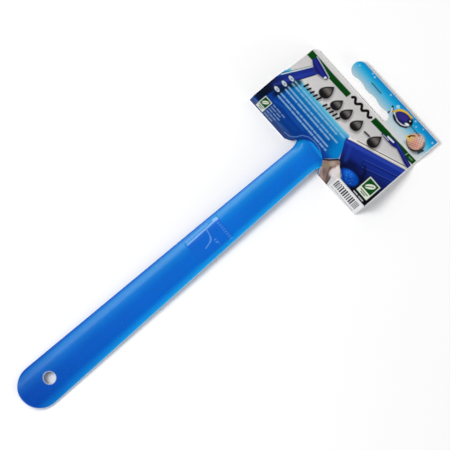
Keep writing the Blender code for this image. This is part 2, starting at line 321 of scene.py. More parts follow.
class Ink:
    """Ink laid on the points of a surface; later shapes cover earlier ones. Colours are screen colours."""

    def __init__(self, xy, ground):
        self.xy = xy
        self.x, self.y = xy.T
        self.colour = np.tile(ink(*ground), (len(xy), 1))

    def lay(self, share, colour):
        """Cover a share of each point with one colour."""
        blend_in(self.colour, share, colour)

    def lay_blend(self, share, places, stops):
        """Cover a share of each point with the colour that stops give at its place."""
        self.colour += (blend_stops(places, stops) - self.colour) * share[:, None]

    def ellipse(self, centre, radii, colour, turn=0.0, soft=0.4, strength=1.0):
        """A turned ellipse."""
        turn = math.radians(turn)
        across = (self.x - centre[0]) * math.cos(turn) + (self.y - centre[1]) * math.sin(turn)
        along = (self.y - centre[1]) * math.cos(turn) - (self.x - centre[0]) * math.sin(turn)
        distance = (np.hypot(across / radii[0], along / radii[1]) - 1) * min(radii)
        self.lay(cover(distance, soft) * strength, colour)

    def stroke(self, points, width, colour, soft=0.4, strength=1.0):
        """A line with round ends."""
        self.lay(cover(line_distance(self.xy, points) - width / 2, soft) * strength, colour)

    def shape(self, points, colour, soft=0.4, strength=1.0):
        """A filled outline."""
        self.lay(cover(shape_distance(self.xy, points), soft) * strength, colour)

    def words(self, left, right, y, height, colour, strength=1.0, slope=0.005):
        """A row of plain bars in place of a line of words."""
        place = left
        while place < right - 1.0:
            length = min(RANDOM.uniform(1.6, 5.2), right - place)
            rise = (place - left) * slope
            ends = [(place, y + rise), (place + length, y + rise + length * slope)]
            bar = cover(line_distance(self.xy, ends) - height / 2, 0.35)
            ripple = 0.72 + 0.28 * np.sin(self.x * 2 * math.pi / 1.05 + place)
            self.lay(bar * ripple * strength, colour)
            place += length + RANDOM.uniform(1.0, 1.6)


# ---------------------------------------------------------------- materials


class Finish:
    """A Principled material whose colour, roughness and relief vary over the object."""

    def __init__(self, name, colour, roughness, **fixed):
        self.material = bpy.data.materials.new(name)
        self.material.use_nodes = True
        self.nodes = self.material.node_tree.nodes
        self.shader = self.nodes["Principled BSDF"]
        self.feed(self.shader, {"Base Color": (*colour, 1.0), "Roughness": roughness})
        self.feed(self.shader, {socket.replace("_", " "): value for socket, value in fixed.items()})

    def feed(self, node, inputs):
        """Set a node's inputs: another node's output is linked, and anything else is a plain value."""
        for name, value in inputs.items():
            if isinstance(value, bpy.types.NodeSocket):
                self.material.node_tree.links.new(value, node.inputs[name])
            else:
                node.inputs[name].default_value = value

    def node(self, kind, output, inputs, **settings):
        """A new node's output."""
        made = self.nodes.new("ShaderNode" + kind)
        for name, value in settings.items():
            setattr(made, name, value)
        self.feed(made, inputs)
        return made.outputs[output]

    def noise(self, scale, detail=3.0, stretch=(1.0, 1.0, 1.0)):
        """Noise fixed to the object, in metres."""
        place = self.node("TexCoord", "Object", {})
        place = self.node("Mapping", "Vector", {"Vector": place, "Scale": stretch})
        return self.node("TexNoise", "Fac", {"Vector": place, "Scale": scale, "Detail": detail})

    def stored(self, name, output):
        """What each vertex carries under a name."""
        return self.node("Attribute", output, {}, attribute_name=name)

    def spread(self, noise, low, high):
        """The middle of a noise mapped to a range."""
        ends = {"From Min": 0.3, "From Max": 0.7, "To Min": low, "To Max": high}
        return self.node("MapRange", "Result", {"Value": noise, **ends})

    def shade(self, colour, noise, low, high):
        """Colour the surface, darker and lighter with a noise."""
        if not isinstance(colour, bpy.types.NodeSocket):
            plain = self.nodes.new("ShaderNodeRGB").outputs[0]
            plain.default_value = (*colour, 1.0)
            colour = plain
        factor = self.spread(noise, low, high)
        scaled = self.node("VectorMath", "Vector", {0: colour, "Scale": factor}, operation="SCALE")
        self.feed(self.shader, {"Base Color": scaled})

    def roughen(self, roughness):
        """Let the roughness vary."""
        self.feed(self.shader, {"Roughness": roughness})

    def emboss(self, heights, distance, strength):
        """Fine relief."""
        relief = {"Height": heights, "Distance": distance, "Strength": strength}
        self.feed(self.shader, {"Normal": self.node("Bump", "Normal", relief)})


def moulded_plastic(name):
    """The blue moulding's finish before its colour: a little gloss and fine grain."""
    finish = Finish(name, (0.0, 0.1, 0.5), 0.4, Specular_IOR_Level=0.25)
    finish.emboss(finish.noise(2600.0, 2.0), 0.00003, 0.35)
    return finish


def plastic_material():
    """Blue moulding: satin skin, a matt etched panel, and painted light that gathers at its thin edges,
    carried in its vertex colours.
    """
    finish = moulded_plastic("blue_plastic")
    finish.shade(finish.stored("tint_and_painted_light", "Color"), finish.noise(60.0), 0.96, 1.04)
    skin = finish.spread(finish.noise(900.0, 4.0), 0.22, 0.28)
    finish.roughen(finish.node("Math", "Value", {0: skin, 1: finish.stored("matt", "Fac")}, operation="ADD"))
    return finish.material


def solid_plastic_material():
    """The same blue for the head's pieces."""
    finish = moulded_plastic("blue_plastic_head")
    finish.shade(ink(0, 92, 196), finish.noise(60.0), 0.92, 1.08)
    finish.roughen(finish.spread(finish.noise(900.0, 4.0), 0.30, 0.40))
    return finish.material


def steel_material(name, tone, roughness, stretch):
    """Drawn or brushed steel: streaks that follow the metal."""
    finish = Finish(name, (tone, tone, tone), roughness, Metallic=0.75)
    streaks = finish.noise(700.0, 4.0, stretch)
    finish.shade((tone, tone * 1.02, tone * 1.04), streaks, 0.86, 1.1)
    finish.roughen(finish.spread(streaks, roughness - 0.08, roughness + 0.1))
    finish.emboss(streaks, 0.00001, 0.2)
    return finish.material


def guard_material():
    """Milky see-through plastic."""
    milky = (0.85, 0.90, 0.93)
    finish = Finish("guard_plastic", milky, 0.25, Transmission_Weight=0.12, IOR=1.46)
    cloud = finish.noise(40.0, 2.0)
    finish.shade(milky, cloud, 0.97, 1.0)
    finish.roughen(finish.spread(cloud, 0.3, 0.34))
    return finish.material


def printed_material():
    """Ink on coated card, with the board's fibres just showing through."""
    finish = Finish("printed_card", (0.2, 0.4, 0.6), 0.4, Specular_IOR_Level=0.03)
    fibre = finish.noise(1500.0, 5.0, (1.0, 0.4, 1.0))
    finish.shade(finish.stored("ink", "Color"), fibre, 0.95, 1.05)
    finish.roughen(finish.spread(fibre, 0.36, 0.5))
    finish.emboss(fibre, 0.00004, 0.3)
    return finish.material


def paper_material(name, tone, speck):
    """Bare board: short fibres and a few specks."""
    finish = Finish(name, (tone, tone, tone), 0.8, Specular_IOR_Level=0.2)
    fibre = finish.noise(900.0, 6.0, (1.0, 0.3, 1.0))
    finish.shade((tone, tone * 0.995, tone * 0.985), fibre, 1 - speck, 1 + speck / 2)
    finish.roughen(finish.spread(fibre, 0.72, 0.9))
    finish.emboss(fibre, 0.00006, 0.4)
    return finish.material


def floor_material():
    """Smooth white studio sheet."""
    finish = Finish("studio_floor", (0.9, 0.9, 0.9), 0.9, Specular_IOR_Level=0.0)
    finish.shade((0.97, 0.97, 0.97), finish.noise(3.0), 0.99, 1.01)
    return finish.material


# ---------------------------------------------------------------- handle


def handle_half_width(y):
    """Half the handle's width along it: a straight taper, then the fillet into the head."""
    share = np.clip((y - TAPER_START_Y) / (NECK_START_Y - TAPER_START_Y), 0.0, 1.0)
    into = np.maximum(0.0, y - NECK_START_Y)
    fillet = NECK_FILLET - np.sqrt(np.maximum(0.0, NECK_FILLET ** 2 - into ** 2))
    return END_RADIUS + (NECK_HALF_WIDTH - END_RADIUS) * share + fillet


def skin_height(x, y):
    """Height of the handle's outer skin."""
    share = np.minimum(y, ELBOW_Y) / ELBOW_Y
    crown = CROWN_END + (CROWN_NECK - CROWN_END) * share
    rim = RIM_END_Z + (RIM_NECK_Z - RIM_END_Z) * share
    side = np.abs(x) / handle_half_width(y)
    return rim + crown * (1 - side ** CROWN_POWER) - ELBOW_DROP * np.maximum(0.0, y - ELBOW_Y)


def panel_cover(x, y):
    """1 inside the etched panel, 0 outside."""
    left, right, low, high = PANEL
    beyond = np.maximum(np.maximum(left - x, x - right), np.maximum(low - y, y - high))
    return cover(beyond, 0.5)


def etched_marks():
    """The panel's small drawing: a blade holder's outline with its angle; (points, width, strength)."""
    marks = [
        ([(-7.7, 170.9), (-7.4, 172.9)], 2.2, 0.75),
        ([(-7.1, 172.0), (-6.9, 160.0), (-6.7, 147.6)], 1.1, 0.6),
        ([(-8.8, 166.0), (-8.9, 158.0), (-8.7, 147.4)], 0.9, 0.28),
        ([(-6.2, 163.4), (-3.6, 162.9), (-1.0, 162.2)], 0.5, 0.45),
        ([(-1.0, 162.2), (0.6, 161.2), (1.4, 159.8)], 1.0, 0.4),
        ([(1.4, 159.8), (2.1, 157.4), (2.7, 155.1)], 0.5, 0.5),
        ([(2.2, 162.8), (2.4, 164.0)], 0.6, 0.35),
        ([(4.1, 162.8), (4.6, 164.0)], 0.8, 0.35),
        ([(5.7, 163.8), (6.6, 163.8)], 0.4, 0.2),
    ]
    for number in range(8):
        place = -4.7 + number * 1.85
        marks.append(([(place, 171.4), (place + 0.25, 172.6)], 0.75, 0.22))
    return marks


def mark_cover(x, y):
    """How strongly the etched drawing shows at each point."""
    shown = np.zeros(len(x))
    xy = np.stack((x, y), axis=1)
    for points, width, strength in etched_marks():
        shown = np.maximum(shown, cover(line_distance(xy, points) - width / 2, 0.4) * strength)
    return shown


def handle_grid():
    """Plan places of the skin's vertices: rows start on the round end and then run square across."""
    sides = np.sin(np.linspace(-0.5, 0.5, 85) * math.pi)
    end_arc = END_RADIUS - RIM_ROUND
    edge = END_RADIUS - np.sqrt(np.maximum(0.0, end_arc ** 2 - (sides * end_arc) ** 2))
    end_y = TAPER_START_Y + 5.0
    rows = [edge + (end_y - edge) * share for share in np.linspace(0.0, 1.0, 26)[:-1] ** 1.6]
    panel_start, panel_end = PANEL[2] - 2.0, PANEL[3] + 2.0
    stretches = ((end_y, panel_start, 1.6), (panel_start, panel_end, 0.33), (panel_end, HANDLE_STOP_Y, 1.5))
    for first, last, step in stretches:
        rows += [np.full(len(sides), y) for y in spaced(first, last, step)]
    rows.append(np.full(len(sides), HANDLE_STOP_Y))
    y = np.array(rows)
    return sides * (handle_half_width(y) - RIM_ROUND), y


def skin_normals(x, y):
    """Unit normals of the smooth skin."""
    step = 0.01
    slope_x = (skin_height(x + step, y) - skin_height(x - step, y)) / (2 * step)
    slope_y = (skin_height(x, y + step) - skin_height(x, y - step)) / (2 * step)
    normals = np.stack((-slope_x, -slope_y, np.ones_like(x)), axis=-1)
    return normals / np.linalg.norm(normals, axis=-1, keepdims=True)


def make_handle_shell(material):
    """Outer skin, rounded rim and inner skin as one closed mesh."""
    x, y = handle_grid()
    normals = skin_normals(x, y)
    relief = MARK_DEPTH * mark_cover(x.ravel(), y.ravel()).reshape(x.shape)
    depth = PANEL_DEPTH * panel_cover(x, y)
    base = np.stack((x, y, skin_height(x, y)), axis=-1)
    outer = base + normals * (relief - depth)[..., None]
    inner = base - normals * HANDLE_WALL
    rows, columns = x.shape
    outer_index = np.arange(rows * columns).reshape(rows, columns)
    inner_index = outer_index + rows * columns
    # the open edge, from the neck down the left side, round the end and back up the right side
    loop = [(row, 0) for row in range(rows - 1, 0, -1)]
    loop += [(0, column) for column in range(columns)]
    loop += [(row, columns - 1) for row in range(1, rows)]
    loop_rows, loop_columns = np.array(loop).T
    edge = base[loop_rows, loop_columns]
    edge_normals = normals[loop_rows, loop_columns]
    run = np.gradient(edge, axis=0)
    outward = np.cross(run, edge_normals)
    outward /= np.linalg.norm(outward, axis=1, keepdims=True)
    if outward[0, 0] > 0:
        outward = -outward
    points = [outer.reshape(-1, 3), inner.reshape(-1, 3)]
    strips = [outer_index[loop_rows, loop_columns]]
    count = 2 * rows * columns
    # the rim's section, as places (outward, downward) from the open edge
    inner_round = 0.4
    profile = [(RIM_ROUND * rise, RIM_ROUND * (1 - run)) for rise, run in quarter_turn(5)[1:]]
    for rise, run in quarter_turn(4)[:-1]:
        out = RIM_ROUND - inner_round + inner_round * run
        profile.append((out, HANDLE_WALL - inner_round + inner_round * rise))
    for out, down in profile:
        points.append(edge + outward * out - edge_normals * down)
        strips.append(np.arange(count, count + len(loop)))
        count += len(loop)
    strips.append(inner_index[loop_rows, loop_columns])
    faces = grid_faces(outer_index) + grid_faces(inner_index, flip=True)
    faces += grid_faces(np.array(strips))
    # the neck's end is closed by one face, which lies inside the jaw
    end_cap = list(outer_index[-1])
    end_cap += [int(strip[-1]) for strip in strips[1:-1]]
    end_cap += list(inner_index[-1][::-1])
    end_cap += [int(strip[0]) for strip in strips[-2:0:-1]]
    faces.append([int(number) for number in end_cap])
    shell = mesh_object("handle_body", np.concatenate(points), faces, [material])
    with editing(shell.data) as work:
        bmesh.ops.recalc_face_normals(work, faces=work.faces)
    return shell


def hole_cutter(profile):
    """A closed turned solid about the hanging hole's axis; its profile is (radius, z) from low to high."""
    segments = 64
    points = []
    for radius, z in profile:
        for step in range(segments):
            angle = 2 * math.pi * step / segments
            points.append((radius * math.cos(angle), HOLE_Y + radius * math.sin(angle), z))
    index = np.arange(len(points)).reshape(len(profile), segments)
    ring = np.concatenate((index, index[:, :1]), axis=1)
    faces = grid_faces(ring)
    faces.append(index[0][::-1].tolist())
    faces.append(index[-1].tolist())
    return mesh_object("hole_cutter", points, faces, [])


def jaw_from_frame(material):
    """The head's fixed jaw with its lugs, cut from the CAD moulding."""
    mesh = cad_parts["handle"].data.copy()
    mesh.materials.clear()
    mesh.materials.append(material)
    with editing(mesh) as work:
        bmesh.ops.remove_doubles(work, verts=work.verts, dist=0.002 * MM)
        plane = to_frame((0.0, JAW_REAR_Y + 0.05, 0.0))
        geometry = work.verts[:] + work.edges[:] + work.faces[:]
        bmesh.ops.bisect_plane(work, geom=geometry, plane_co=plane, plane_no=(0, 1, 0), clear_inner=True)
        rims = [edge for edge in work.edges if edge.is_boundary]
        bmesh.ops.holes_fill(work, edges=rims, sides=0)
        bmesh.ops.dissolve_limit(work, angle_limit=math.radians(1), verts=work.verts, edges=work.edges)
        bmesh.ops.recalc_face_normals(work, faces=work.faces)
    return add_object("fixed_jaw", mesh)


def outer_skin(x, y, z, reach):
    """Which points lie on the outer skin, not on the inner one."""
    return z > skin_height(np.clip(x, -reach, reach), y) - HANDLE_WALL / 2


def handle_tint_and_painted_light(points):
    """Colour of the moulding with painted light and shade: darker at its end, a painted glow where its thin
    sides let light through, a painted lit rim and a pale painted hole wall.
    """
    x, y, z = points.T
    half = handle_half_width(np.minimum(y, HANDLE_STOP_Y))
    side = x / half
    on_handle = y < HANDLE_STOP_Y
    # painted shade: darker towards the handle's end and lighter towards the neck, as the light falls along it
    tint_and_painted_light = blend_stops(y, [
        (0, (0, 67, 168)), (40, (0, 84, 184)), (80, (0, 91, 193)),
        (120, (0, 96, 197)), (200, (0, 105, 205)), (250, (0, 106, 205)),
    ])
    # painted light: the glow of light through the thin right side, most of all in a narrow band at its edge
    right_glow_painted = np.interp(y, [20, 40, 80, 120, 200], [0.35, 0.45, 0.72, 0.82, 0.85])
    blend_in(tint_and_painted_light, right_glow_painted * smoothstep(0.5, 0.9, side) * on_handle, (0, 150, 232))
    tint_and_painted_light *= 1 + np.array([0.0, 0.45, 0.06]) * (smoothstep(0.86, 0.95, side) * on_handle)[:, None]
    # painted light through the left side too, apart from its rim
    left_glow_painted = np.interp(y, [10, 40, 100, 200], [0.35, 0.56, 0.76, 1.0])
    left_glow_painted *= np.clip(-side / 0.85, 0.0, 1.0) ** 1.2
    left_glow_painted *= 1 - 0.9 * smoothstep(0.76, 0.93, -side)
    blend_in(tint_and_painted_light, left_glow_painted * on_handle, (0, 142, 212))
    # the middle of the etched panel is an even blue
    blend_in(tint_and_painted_light, panel_cover(x, y) * smoothstep(-7.5, -6.0, x) * smoothstep(9.0, 7.0, x), (0, 98, 201))
    # a painted highlight on the rim's lit line, painted light on the hole's wall, and the etched drawing
    rim_gap = np.where(y < END_RADIUS, END_RADIUS - np.hypot(x, y - END_RADIUS), half - np.abs(x))
    rim_highlight_painted = smoothstep(-9.0, 4.0, x) * (y < NECK_START_Y)
    blend_in(tint_and_painted_light, smoothstep(0.75, 0.25, rim_gap) * rim_highlight_painted * 0.9, (206, 230, 246))
    hole_wall_light_painted = smoothstep(0.55, 0.15, np.hypot(x, y - HOLE_Y) - HOLE_RADIUS)
    blend_in(tint_and_painted_light, hole_wall_light_painted * 0.85, (226, 236, 246))
    blend_in(tint_and_painted_light, mark_cover(x, y) * outer_skin(x, y, z, half), (140, 192, 244))
    return tint_and_painted_light


def make_handle(material):
    """The whole moulding: shell, hanging hole with a soft edge, neck and fixed jaw."""
    shell = make_handle_shell(material)
    crest = float(skin_height(np.array(0.0), np.array(HOLE_Y)))
    bottom = crest - HANDLE_WALL
    profile = [
        (HOLE_RADIUS + 0.5, bottom - 1.0), (HOLE_RADIUS + 0.45, bottom - 0.1),
        (HOLE_RADIUS, bottom + 0.5), (HOLE_RADIUS, crest - 0.75),
    ]
    for rise, run in quarter_turn(4)[1:]:
        profile.append((HOLE_RADIUS + 0.5 * (1 - run), crest - 0.75 + 0.6 * rise))
    profile.append((HOLE_RADIUS + 0.9, crest + 1.0))
    hole = hole_cutter(profile)
    jaw = jaw_from_frame(material)
    for other, operation in ((hole, "DIFFERENCE"), (jaw, "UNION")):
        modifier = shell.modifiers.new(other.name, "BOOLEAN")
        modifier.operation = operation
        modifier.object = other
    apply_modifiers(shell)
    bpy.data.objects.remove(hole)
    bpy.data.objects.remove(jaw)
    smooth_shade(shell, SHARP_HANDLE)
    points = tool_points(shell)
    store_colours(shell, "tint_and_painted_light", handle_tint_and_painted_light(points))
    x, y, z = points.T
    store_numbers(shell, "matt", PANEL_ROUGHER * panel_cover(x, y) * outer_skin(x, y, z, 12))
    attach(shell, "scraper")
    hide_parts("handle")


# ---------------------------------------------------------------- card


def fold_y(x):
    """Where the card's upper fold runs."""
    return FOLD_LEFT_Y + (FOLD_RIGHT_Y - FOLD_LEFT_Y) * (x - CARD_LEFT) / (CARD_RIGHT - CARD_LEFT)


def heel_y(x):
    """Where the card's lower edge runs."""
    return np.interp(x, [-50.5, -40.0, -19.0, 14.0, 23.0, 49.5], [239.7, 239.9, 240.3, 241.3, 241.4, 242.5])


def curl(y):
    """How far the stapled end springs up from the surface."""
    return HEADER_CURL * smoothstep(CURL_START_Y, CURL_END_Y, y)


def leaf_height(x, y):
    """Height of the bent front leaf's middle."""
    # the fold runs at a slant, so places short of the bend are first spread evenly
    fold = fold_y(x)
    share = (y - fold) / (BEND_Y - fold)
    even = np.where(y < BEND_Y, FOLD_LEFT_Y + share * (BEND_Y - FOLD_LEFT_Y), y)
    marks, heights = np.array(LEAF_PROFILE).T
    height = np.zeros_like(even)
    # averaging over a few millimetres rounds the profile's corners
    offsets = np.linspace(-2.4, 2.4, 9)
    for offset in offsets:
        height += np.interp(even + offset, marks, heights) / len(offsets)
    height = np.where(even > HEADER_START_Y, HEADER_Z, height)
    # past the head the card is slack: its sides dip and it waves a little
    slack = smoothstep(262, 275, y) * smoothstep(293, 284, y)
    dip = 0.7 * smoothstep(39, 50, np.abs(x)) * slack
    wave = 0.12 * np.sin(x * 0.21 + 0.6) * np.sin(y * 0.33) * slack
    return height - dip + wave + curl(y)


def edge_warp(x, y):
    """The card's left edge bows a little; shift of each point along x."""
    bow = np.interp(y, [240, 250, 262, 273, 287, 296], [-1.4, -1.5, -1.4, -0.3, 0.35, 0.45])
    return bow * smoothstep(-30.0, -50.5, x)


def round_places(centre, radius, side, steps=14):
    """Places along x that space a half circle's outline evenly, towards one side."""
    return [centre + side * radius * math.sin(math.pi / 2 * step / steps) for step in range(steps + 1)]


def right_places():
    """Places along x from the hook slot's round end to the card's right edge."""
    return spaced(SLOT_END_X + SLOT_RADIUS, CARD_RIGHT)[1:] + [CARD_RIGHT]


def upper_edge(x):
    """Top edge of the front leaf's lower part, with its cut left corner."""
    return np.interp(x, [-50.5, -49.6, -48.4, -46.4, 13.7], [292.0, 293.2, 294.2, 294.8, 296.15])


def tongue_low(x):
    """The tongue's wavy lower edge, up to its round end."""
    return 301.8 + 0.55 * np.cos((x - 0.3) * 2 * math.pi / 13.6) * smoothstep(-22.0, -16.0, x)


def top_edge(x):
    """The header's top edge."""
    return np.interp(x, [TONGUE_X, CARD_RIGHT], [312.5, 314.5])


def slot_arc(x):
    """Half the hook slot's height at its round end."""
    into = np.clip(x - SLOT_END_X, 0.0, SLOT_RADIUS)
    return np.sqrt(np.maximum(0.0, SLOT_RADIUS ** 2 - into ** 2))


def header_spans(inset=0.0):
    """Columns of the header's part of a leaf, with the low and high edge of each."""
    columns = sorted(round_places(TONGUE_X, TONGUE_RADIUS, -1))[:-1] + spaced(TONGUE_X, SLOT_END_X)
    x = np.array(columns + round_places(SLOT_END_X, SLOT_RADIUS, 1) + right_places())
    # round end of the tongue, its wavy low edge, then the hook slot
    bulb = np.sqrt(np.maximum(0.0, TONGUE_RADIUS ** 2 - np.minimum(0.0, x - TONGUE_X) ** 2))
    low = np.where(x < TONGUE_X, TONGUE_Y - bulb * TONGUE_FLATTEN, tongue_low(x))
    fit = smoothstep(TONGUE_X + TONGUE_BLEND, TONGUE_X, x) * (x >= TONGUE_X)
    low = low * (1 - fit) + (TONGUE_Y - TONGUE_RADIUS * TONGUE_FLATTEN) * fit
    low = np.where(x >= SLOT_END_X, SLOT_MIDDLE_Y + slot_arc(x), low)
    ease = smoothstep(SLOT_END_X - 2.0, SLOT_END_X, x) * (x < SLOT_END_X)
    low = low * (1 - ease) + (SLOT_MIDDLE_Y + SLOT_RADIUS) * ease
    high = np.where(x < TONGUE_X, TONGUE_Y + bulb, top_edge(x))
    return x, low + inset, high - inset


def strips(columns, lows, highs, rows, place):
    """Vertices of a sheet whose columns run from a low to a high edge, and their numbers as a grid."""
    shares = np.linspace(0.0, 1.0, rows)[:, None]
    x = np.tile(columns, (rows, 1))
    y = lows + (highs - lows) * shares
    points = place(x, y).reshape(-1, 3)
    return points, np.arange(rows * len(columns)).reshape(rows, len(columns))


def sheet_place(x, y, z):
    """A point on a sheet, with the left edge's bow."""
    return np.stack((x + edge_warp(x, y), y, z), axis=-1)


def front_place(x, y):
    """Plan place to the bent leaf's surface."""
    return sheet_place(x, y, leaf_height(x, y))


def front_sheet():
    """The printed leaf's open middle surface."""
    x = np.array(spaced(CARD_LEFT, SLOT_END_X) + round_places(SLOT_END_X, SLOT_RADIUS, 1) + right_places())
    arch = ARCH_Y + np.sqrt(np.maximum(0.0, ARCH_RADIUS ** 2 - x ** 2))
    fold = fold_y(x)
    low = np.maximum(fold, arch)
    high = np.where(x < SLOT_END_X, upper_edge(x), SLOT_MIDDLE_Y - slot_arc(x))
    body, body_index = strips(x, low, high, round(50 / MESH_STEP), front_place)
    # a few rows that turn down at the low edge: a rounded fold, and much less of it round the arch
    lip_rows = 4
    lip = []
    on_fold = smoothstep(0.0, 0.6, fold - arch)
    for number in range(lip_rows):
        angle = math.radians(80 * (lip_rows - number) / lip_rows)
        back = (0.12 + 0.38 * on_fold) * math.sin(angle)
        down = (0.02 + 0.5 * on_fold) * (1 - math.cos(angle))
        lip.append(body[: len(x)] - np.stack((np.zeros_like(x), back, down), axis=-1))
    lip_index = np.arange(lip_rows * len(x)).reshape(lip_rows, len(x))
    faces = grid_faces(np.concatenate((lip_index, body_index + lip_index.size)))
    header, header_index = strips(*header_spans(), round(13 / MESH_STEP), front_place)
    faces += grid_faces(header_index + lip_index.size + len(body))
    return np.concatenate([*lip, body, header]), faces


def back_place(x, y):
    """Plan place to the flat back leaf."""
    return sheet_place(x, y, FLAT_Z + curl(y))


def panel_row(columns, share):
    """One row of the end panel, from its heel (share 0) up to the fold (share 1)."""
    heel = heel_y(columns)
    top = fold_y(columns) - 0.3
    y = heel + (top - heel) * share + 0.35 * math.exp(-share * 14)
    return sheet_place(columns, y, np.full_like(columns, FLAT_Z + (PANEL_TOP_Z - FLAT_Z) * share))


def back_sheet():
    """The back leaf and its end panel as an open middle surface."""
    inset = 0.25
    left = np.array(spaced(CARD_LEFT, MOUTH_LEFT) + [MOUTH_LEFT])
    middle = np.array(spaced(MOUTH_LEFT, MOUTH_RIGHT, 0.6)[1:])
    right = np.array([MOUTH_RIGHT] + spaced(MOUTH_RIGHT, CARD_RIGHT)[1:] + [CARD_RIGHT])
    # the end panel's two flanks, left and right of the mouth that the neck passes through
    points = []
    faces = []
    count = 0
    rises = 40
    flanks = (
        (left, CARD_LEFT, MOUTH_LEFT, MOUTH_TOP_LEFT),
        (right, CARD_RIGHT, MOUTH_RIGHT, MOUTH_TOP_RIGHT),
    )
    for columns, fixed, mouth, top in flanks:
        for number in range(rises, -1, -1):
            share = number / rises
            edge = mouth + (top - mouth) * math.sin(share * math.pi / 2)
            across = fixed + (columns - fixed) * (edge - fixed) / (mouth - fixed)
            points.append(panel_row(across, share))
        index = np.arange((rises + 1) * len(columns)).reshape(rises + 1, len(columns))
        faces += grid_faces(index + count)
        count += index.size
    # the flat leaf, cut back in the mouth
    x = np.concatenate((left, middle, right))
    gap = np.clip((x - MOUTH_LEFT) / (MOUTH_RIGHT - MOUTH_LEFT), 0.0, 1.0)
    low = heel_y(x) + 0.35 + 6.5 * np.sin(gap * math.pi) ** 0.6
    high = np.where(x < SLOT_END_X, upper_edge(x) - inset, SLOT_MIDDLE_Y - inset - slot_arc(x))
    high = np.where(x > SLOT_END_X + SLOT_RADIUS, SLOT_MIDDLE_Y, high)
    flat, flat_index = strips(x, low, high, 60, back_place)
    faces += grid_faces(flat_index + count)
    x, low, high = header_spans(inset)
    low = np.where(x > SLOT_END_X + SLOT_RADIUS, SLOT_MIDDLE_Y, low)
    header, header_index = strips(x, low, high, 24, back_place)
    faces += grid_faces(header_index + count + len(flat))
    return np.concatenate([*points, flat, header]), faces


# ---------------------------------------------------------------- print


def box_outline(left, low, right, high):
    """A rectangle's corners in order."""
    return [(left, low), (right, low), (right, high), (left, high)]


def emblem(s, left, low, width, height):
    """A plain leaf badge: cream card, green field, and small bars underneath."""
    cream, green = (214, 222, 205), (10, 74, 26)
    right, high = left + width, low + height
    s.shape(box_outline(left, low, right, high), cream, 0.3)
    rim = width * 0.07
    field_low = low + height * 0.31
    s.shape(box_outline(left + rim, field_low, right - rim, high - rim), green, 0.3)
    x, y = (left + right) / 2, (field_low + high - rim) / 2
    s.ellipse((x, y), (width * 0.36, width * 0.17), cream, 42, 0.3)
    reach = width * 0.24
    vein = [(x - reach, y - reach * 0.9), (x + reach * 0.7, y + reach * 0.62)]
    s.stroke(vein, width * 0.06, green, 0.25)
    for number, share in enumerate((0.20, 0.10)):
        bar_y = low + height * share
        shorter = number * width * 0.12
        ends = [(left + width * 0.18 + shorter, bar_y), (right - width * 0.18 - shorter, bar_y)]
        s.stroke(ends, height * 0.05, green, 0.3)


def water_drop(s, centre, width, height):
    """A dark glossy drop with a soft shadow."""
    outline = []
    for step in range(28):
        angle = 2 * math.pi * step / 28
        across = 0.5 * width * 1.25 * math.sin(angle) * abs(math.sin(angle / 2)) ** 1.1
        along = 0.5 * height * math.cos(angle)
        outline.append((centre[0] + across + along * 0.14, centre[1] + along))
    outline = np.array(outline)
    s.shape(outline + (1.2, -0.9), (92, 88, 88), 2.4, 0.75)
    s.shape(outline, (24, 22, 24), 0.5)
    low = centre[1] - height / 2
    inside = cover(shape_distance(s.xy, outline) + 0.9, 0.7)
    s.lay_blend(inside * 0.85, (s.y - low) / height, [
        (0.0, (12, 12, 14)), (0.3, (34, 32, 34)), (0.55, (122, 116, 114)), (0.8, (70, 66, 66)),
        (1.0, (20, 20, 22)),
    ])


def paint_water(s):
    """The blue block behind the small print, from bright surface to deep water."""
    block = shape_distance(s.xy, [
        (-52, 273.0), (8.9, 273.2), (10.5, 269.0), (13.2, 263.2), (15.4, 258.2), (9.2, 250.6), (12.2, 243.6),
        (12.0, 236.0), (-52, 236.0),
    ])
    s.lay_blend(cover(block, 1.0), s.y, [
        (238, (10, 56, 122)), (246, (9, 54, 124)), (252, (12, 55, 138)), (256, (8, 66, 150)),
        (260, (5, 80, 160)), (264, (8, 98, 170)), (267, (16, 116, 178)), (270, (52, 150, 198)),
        (272, (95, 182, 210)), (273.5, (150, 200, 214)),
    ])
    bright = smoothstep(2.0, 12.0, s.x) * smoothstep(252.0, 258.0, s.y) * cover(block, 0.6)
    s.lay(bright * 0.75, (4, 134, 206))
    s.stroke([(-40, 251.2), (-33, 253.2), (-24, 252.6), (-14, 252.8)], 1.0, (22, 92, 176), 1.6, 0.6)
    s.stroke([(-38, 243.2), (-30, 243.9), (-20, 244.9)], 0.7, (24, 86, 168), 1.3, 0.6)
    s.stroke([(-30, 247.0), (-24, 248.6), (-17, 249.0)], 1.6, (14, 66, 150), 2.2, 0.6)
    s.stroke([(-21, 254.3), (-10, 255.4), (0, 256.6), (8, 255.2)], 1.2, (18, 84, 170), 1.8, 0.5)
    s.stroke([(-38, 241.8), (-26, 242.4), (-17.5, 242.6)], 0.9, (6, 40, 96), 1.4, 0.7)


def paint_header(s):
    """Sky-to-water gradient with bubbles."""
    s.lay_blend(smoothstep(295.9, 296.5, s.y) * (s.y > 296.0), s.y, [
        (296, (200, 204, 205)), (300, (184, 200, 206)), (303, (152, 187, 201)), (305, (120, 178, 206)),
        (307, (78, 172, 208)), (309, (30, 158, 206)), (311, (14, 140, 199)), (314.5, (20, 118, 184)),
    ])
    bubbles = (
        (-11.9, 311.5, 0.5), (-9.3, 311.0, 0.6), (6.3, 311.3, 0.55), (15.2, 309.8, 1.2), (29.8, 312.3, 0.6),
        (32.7, 310.2, 0.45), (47.6, 311.4, 0.6), (-21.5, 308.6, 0.4), (37.0, 312.6, 0.4),
    )
    for x, y, radius in bubbles:
        s.ellipse((x, y), (radius, radius), (170, 218, 232), soft=0.6, strength=0.75)


